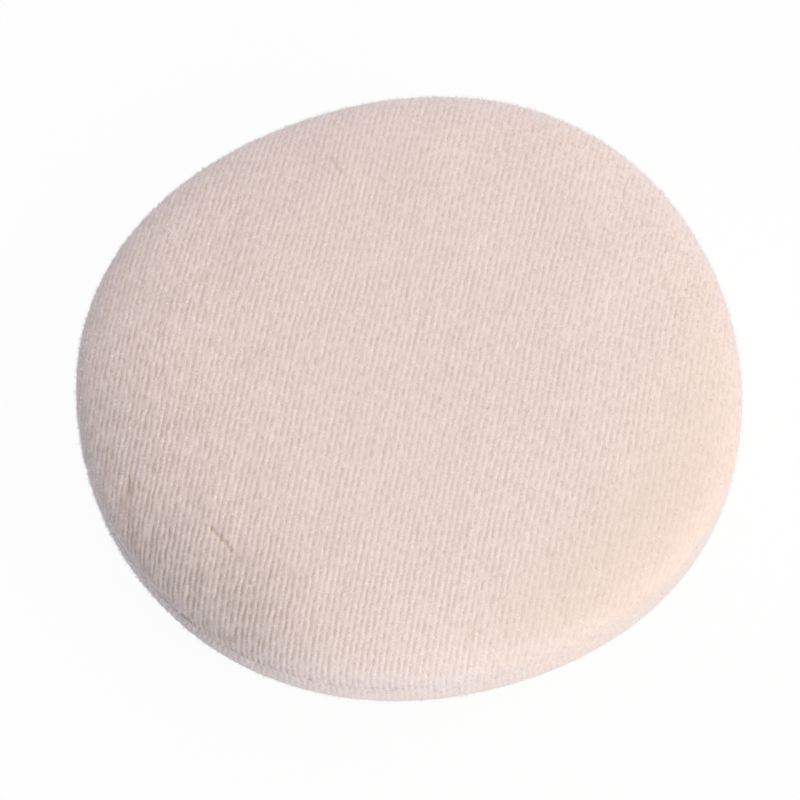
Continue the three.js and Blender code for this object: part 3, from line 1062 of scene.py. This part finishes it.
def foamMaterial():
    material, tree, skin = newMaterial("foamSponge")
    place = addNode(tree, "ShaderNodeTexCoord").outputs["Object"]
    large = cells(tree, place, 1 / foamBuild["cellSize"])
    fine = cells(tree, place, foamBuild["fineCells"] / foamBuild["cellSize"])
    # Darker towards each cell's middle, where the surface is sunk: painted shade
    wall = calc(tree, "MULTIPLY_ADD", fine, 0.4, calc(tree, "MULTIPLY", large, 0.9))
    feed(tree, mixed(tree, wall, foamBuild["cellColor"], foamBuild["wallColor"]), skin.inputs["Base Color"])
    feed(tree, bumped(tree, foamBuild, fine), skin.inputs["Normal"])
    setSockets(skin, foamBuild["skin"])
    return material


def makeFoam():
    section, (top, bottom) = foamSection()
    columns = foamBuild["columns"]
    angle = fullTurn * np.arange(columns) / columns
    points = [padPoints(radius, angle, height, 1) for radius, height in section]
    points.append(np.array([[axisX, axisY, seamPlane + top], [axisX, axisY, seamPlane + bottom]]))
    ring = np.arange(len(section) * columns).reshape(len(section), columns)
    faces = ringFaces(ring) + ringFan(ring.size, ring[0]) + ringFan(ring.size + 1, ring[-1][::-1])
    piece = newPiece("foamCore", np.concatenate(points), faces)
    runTree(piece, foamTree(), {**foamBuild, "material": foamMaterial()})
    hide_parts("foam_core")
    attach(piece, "root")
    print("foamCore made:", len(piece.data.polygons), "faces")


makeFoam()

# Sewing threads
threadBuild = {
    "diameter": 0.2 * mm,
    "clearance": 0.1 * mm,
    "stitchInset": 1.5 * mm,  # from the folded edge to the seam
    "tail": 1.2 * mm,
    "gapWidth": 30 * mm,  # the opening through which the covers were turned, at the far side
    "gapPlace": 90.0,
    "bend": 0.08 * mm,
    "step": 0.16 * mm,
    "twist": 0.9 * mm,  # one turn of the plies
    "plies": 3,
    "plyShare": 0.72,  # how deep the plies' furrows reach
    "fuzzSize": 0.08 * mm,
    "shadeColor": (0.62, 0.47, 0.41),
    "lightColor": (0.80, 0.66, 0.59),
    "skin": {"Roughness": 0.6, "Sheen Weight": 0.2},
}
stitchRadius = foldRadius - threadBuild["stitchInset"]
legOffset = threadBuild["diameter"] + threadBuild["clearance"]
loopOffset = legOffset / 2
runHeight = clothTop + threadBuild["clearance"] + threadBuild["diameter"] / 2
tailTurn = threadBuild["tail"] / stitchRadius


def stitchAngles():
    step = fullTurn / coverBuild["stitchCount"]
    halfGapAngle = threadBuild["gapWidth"] / stitchRadius / 2
    turns = np.arange(coverBuild["stitchCount"]) * step + math.radians(threadBuild["gapPlace"]) + step / 2
    away = turns - math.radians(threadBuild["gapPlace"])
    closing = (away < halfGapAngle) | (away > fullTurn - halfGapAngle)
    sewn = turns[~closing]
    return sewn, np.sort(np.where(away[closing] > math.pi, turns[closing] - fullTurn, turns[closing]))


def seamPoint(radius, angle, height):
    return padPoints(radius, np.array(angle), height, 1)


def needlePath(angles):
    leg = legOffset / stitchRadius
    path = [seamPoint(stitchRadius, angles[0] - leg - tailTurn, runHeight)]
    for angle in angles:
        for turn, height in ((-leg, runHeight), (-leg, -loopOffset), (leg, -loopOffset), (leg, runHeight)):
            path.append(seamPoint(stitchRadius, angle + turn, height))
    path.append(seamPoint(stitchRadius, angles[-1] + leg + tailTurn, runHeight))
    return path


def bobbinPath(angles):
    inner, outer = stitchRadius - legOffset, stitchRadius + legOffset
    loop = ((inner, -runHeight), (inner, loopOffset), (outer, loopOffset), (outer, -runHeight))
    path = [seamPoint(inner, angles[0] - tailTurn, -runHeight)]
    for angle in angles:
        for radius, height in loop:
            path.append(seamPoint(radius, angle, height))
    path.append(seamPoint(outer, angles[-1] + tailTurn, -runHeight))
    return path


# Small stitches from fold to fold, which show across the groove
def closingPath(angles):
    show = padForm["radius"] - padForm["seamDepth"] - threadBuild["diameter"] / 4
    path = [seamPoint(stitchRadius, angles[0] - tailTurn, runHeight)]
    side = 1
    for angle in angles:
        path.append(seamPoint(stitchRadius, angle, side * runHeight))
        path.append(seamPoint(show, angle, side * 3 * loopOffset))
        path.append(seamPoint(show, angle, -side * 3 * loopOffset))
        path.append(seamPoint(stitchRadius, angle, -side * runHeight))
        side = -side
    path.append(seamPoint(stitchRadius, angles[-1] + tailTurn, side * runHeight))
    return path


def threadTree():
    tree, given, result = pieceTree("twistedThread", (
        "Diameter", "Bend", "Step", "Twist", "Plies", "Ply Share"), Plies="Int")
    curve = addNode(tree, "GeometryNodeMeshToCurve", {"Mesh": given["Geometry"]})
    bent = addNode(tree, "GeometryNodeFilletCurve", {
        "Curve": curve.outputs[0], "Radius": given["Bend"], "Count": 3}, mode="POLY")
    even = addNode(tree, "GeometryNodeResampleCurve", {
        "Curve": bent.outputs[0], "Length": given["Step"]}, mode="LENGTH")
    run = addNode(tree, "GeometryNodeSplineParameter").outputs["Length"]
    turn = calc(tree, "MULTIPLY", calc(tree, "DIVIDE", run, given["Twist"]), fullTurn)
    tilted = addNode(tree, "GeometryNodeSetCurveTilt", {"Curve": even.outputs[0], "Tilt": turn})
    kept = addNode(tree, "GeometryNodeStoreNamedAttribute", {"Geometry": tilted.outputs[0], "Name": "run"},
                   data_type="FLOAT", domain="POINT")
    feed(tree, run, kept.inputs["Value"])
    half = calc(tree, "MULTIPLY", given["Diameter"], 0.5)
    ply = addNode(tree, "GeometryNodeCurveStar", {
        "Points": given["Plies"], "Outer Radius": half,
        "Inner Radius": calc(tree, "MULTIPLY", half, given["Ply Share"])})
    swept = addNode(tree, "GeometryNodeCurveToMesh", {
        "Curve": kept.outputs[0], "Profile Curve": ply.outputs[0], "Fill Caps": True})
    endTree(tree, swept.outputs[0], given["Material"], result)
    return tree


def threadMaterial():
    material, tree, skin = newMaterial("sewingThread")
    place = addNode(tree, "ShaderNodeTexCoord").outputs["Object"]
    plyTurn = fullTurn * threadBuild["plies"] / threadBuild["twist"]
    wave = calc(tree, "SINE", calc(tree, "MULTIPLY", meshField(tree, "run"), plyTurn))
    fuzz = noise(tree, spread(tree, place, (1 / threadBuild["fuzzSize"],) * 3), 6.0)
    shade = calc(tree, "MULTIPLY_ADD", wave, 0.25, fuzz)
    color = mixed(tree, shade, threadBuild["shadeColor"], threadBuild["lightColor"])
    feed(tree, color, skin.inputs["Base Color"])
    setSockets(skin, threadBuild["skin"])
    return material


twistedThread = threadTree()
threadSkin = threadMaterial()


def makeThread(name, node, path):
    mesh = bpy.data.meshes.new(name)
    mesh.from_pydata(path, [(count, count + 1) for count in range(len(path) - 1)], [])
    piece = addObject(name, mesh)
    runTree(piece, twistedThread, {**threadBuild, "material": threadSkin})
    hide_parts(node)
    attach(piece, "root")
    print(name, "made:", len(piece.data.polygons), "faces")


sewnAngles, closingAngles = stitchAngles()
makeThread("needleThread", "seam_needle_thread", needlePath(sewnAngles))
makeThread("bobbinThread", "seam_bobbin_thread", bobbinPath(sewnAngles))
makeThread("closingThread", "closing_thread", closingPath(closingAngles))

# Stage, light and camera
stageLook = {
    "floorSide": 3.0,
    "floorSkin": {"Base Color": (0.94, 0.94, 0.94, 1), "Roughness": 1.0, "Specular IOR Level": 0.0},
    "floorShown": 0.95,  # share of plain white that the camera sees over the floor's own shading
    "worldColor": (0.896, 0.906, 1.0),
    "worldStrength": 0.99,
    "dimAround": -160.0,  # the side of the room with no window, in degrees round from +X
    "dimUp": 14.0,
    "dimReach": (0.28, 0.83),  # cosines of the angle from there
    "lamps": (  # name, degrees round from +X, degrees up, distance, width, power, colour
        ("windowRight", -30, 45, 0.75, 0.45, 1.5, (1.0, 0.84, 0.42)),
        ("windowFront", -90, 18, 0.75, 0.45, 1.2, (0.76, 0.85, 1.0)),
        ("windowBack", 112, 20, 0.75, 0.45, 0.33, (0.85, 0.93, 1.0)),
    ),
    "viewHeight": 62.0,  # degrees above the table
    "viewReach": 0.4,
    "viewLens": 148.7,
    "viewAim": (-1.40 * mm, -1.00 * mm, -0.53 * mm),  # from the pad's middle to what the lens points at
}


# Plain white in place of a share of what the camera, mirrors and glass would see
def showWhite(tree, shading, kind, share, output):
    light = tree.nodes.new("ShaderNodeLightPath").outputs
    seen = calc(tree, "MAXIMUM", light["Is Camera Ray"], light["Is Glossy Ray"])
    seen = calc(tree, "MAXIMUM", seen, light["Is Transmission Ray"])
    white = addNode(tree, kind, {"Color": (1, 1, 1, 1), "Strength": 1.0})
    mix = addNode(tree, "ShaderNodeMixShader", {
        0: calc(tree, "MULTIPLY", seen, share), 1: shading.outputs[0], 2: white.outputs[0]})
    tree.links.new(mix.outputs[0], tree.nodes[output].inputs["Surface"])


def makeFloor():
    half = stageLook["floorSide"] / 2
    corners = [(-half, -half, 0), (half, -half, 0), (half, half, 0), (-half, half, 0)]
    floor = newPiece("floor", corners, [(0, 1, 2, 3)])
    material, tree, skin = newMaterial("floorPaper")
    setSockets(skin, stageLook["floorSkin"])
    showWhite(tree, skin, "ShaderNodeEmission", stageLook["floorShown"], "Material Output")
    floor.data.materials.append(material)


def makeWorld():
    world = bpy.data.worlds.new("studio")
    world.use_nodes = True
    scene.world = world
    tree = world.node_tree
    fill = tree.nodes["Background"]
    fill.inputs["Color"].default_value = (*stageLook["worldColor"], 1)
    place = addNode(tree, "ShaderNodeTexCoord").outputs["Generated"]
    towards = heading(stageLook["dimAround"], stageLook["dimUp"])
    facing = addNode(tree, "ShaderNodeVectorMath", {0: place, 1: towards}, operation="DOT_PRODUCT")
    bright = ease(tree, facing.outputs["Value"], *stageLook["dimReach"], 1.0, 0.0)
    feed(tree, calc(tree, "MULTIPLY", bright, stageLook["worldStrength"]), fill.inputs["Strength"])
    showWhite(tree, fill, "ShaderNodeBackground", 1.0, "World Output")


def makeLamps():
    for name, around, up, reach, width, power, color in stageLook["lamps"]:
        lamp = bpy.data.lights.new(name, "AREA")
        lamp.shape = "DISK"
        lamp.size = width
        lamp.energy = power
        lamp.color = color
        softBox = addObject(name, lamp)
        towards = heading(around, up)
        softBox.location = towards * reach
        softBox.rotation_euler = towards.to_track_quat("Z", "Y").to_euler()


def makeCamera():
    lens = bpy.data.cameras.new("view")
    lens.lens = stageLook["viewLens"]
    lens.sensor_width = 36
    lens.clip_start = 0.01
    lens.clip_end = 20
    view = addObject("view", lens)
    lift = math.radians(stageLook["viewHeight"])
    back = Vector((0, -math.cos(lift), math.sin(lift)))
    middle = Vector((axisX, axisY, cadHigh.z / 2))
    view.location = middle + Vector(stageLook["viewAim"]) + back * stageLook["viewReach"]
    view.rotation_euler = back.to_track_quat("Z", "Y").to_euler()
    scene.camera = view


makeFloor()
makeWorld()
makeLamps()
makeCamera()
print("stage, light and camera set")
